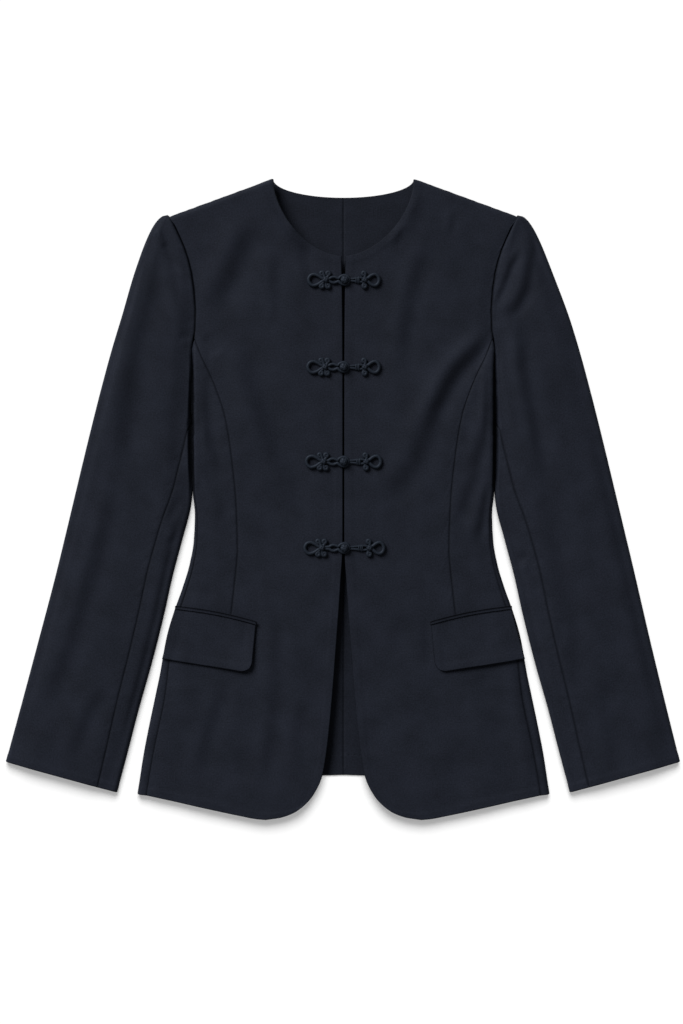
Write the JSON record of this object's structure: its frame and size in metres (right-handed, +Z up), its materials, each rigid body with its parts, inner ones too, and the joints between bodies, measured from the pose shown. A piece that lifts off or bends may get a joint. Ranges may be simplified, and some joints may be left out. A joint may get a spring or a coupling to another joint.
{
  "type": "frog closure blazer",
  "caption": "Collarless hip-length blazer laid flat, with corded frog closures, princess seams, flapped pockets, two-piece sleeves and a rounded cutaway hem.",
  "frame": {"origin": "on the surface that the jacket lies on, under the middle of its outline", "axes": "+Z up out of the fronts, +Y towards the neck, +X towards the wearer's left (the right of the picture)"},
  "size_m": [0.738, 0.7013, 0.0219],
  "materials": {
    "suiting": "matte dark navy suiting, fine plain weave",
    "frog_cord": "dark navy round cord, slightly lustrous"
  },
  "bodies": {
    "root": {"front_left": "suiting", "front_right": "suiting", "side_front_left": "suiting", "side_front_right": "suiting", "back_left": "suiting", "back_right": "suiting", "upper_sleeve_left": "suiting", "upper_sleeve_right": "suiting", "under_sleeve_left": "suiting", "under_sleeve_right": "suiting", "pocket_flap_left": "suiting", "pocket_flap_right": "suiting", "pocket_welt_left": "suiting", "pocket_welt_right": "suiting", "frog_1_loop": "frog_cord", "frog_1_knot": "frog_cord", "frog_1_stem": "frog_cord", "frog_2_loop": "frog_cord", "frog_2_knot": "frog_cord", "frog_2_stem": "frog_cord", "frog_3_loop": "frog_cord", "frog_3_knot": "frog_cord", "frog_3_stem": "frog_cord", "frog_4_loop": "frog_cord", "frog_4_knot": "frog_cord", "frog_4_stem": "frog_cord"}
  },
  "joints": []
}
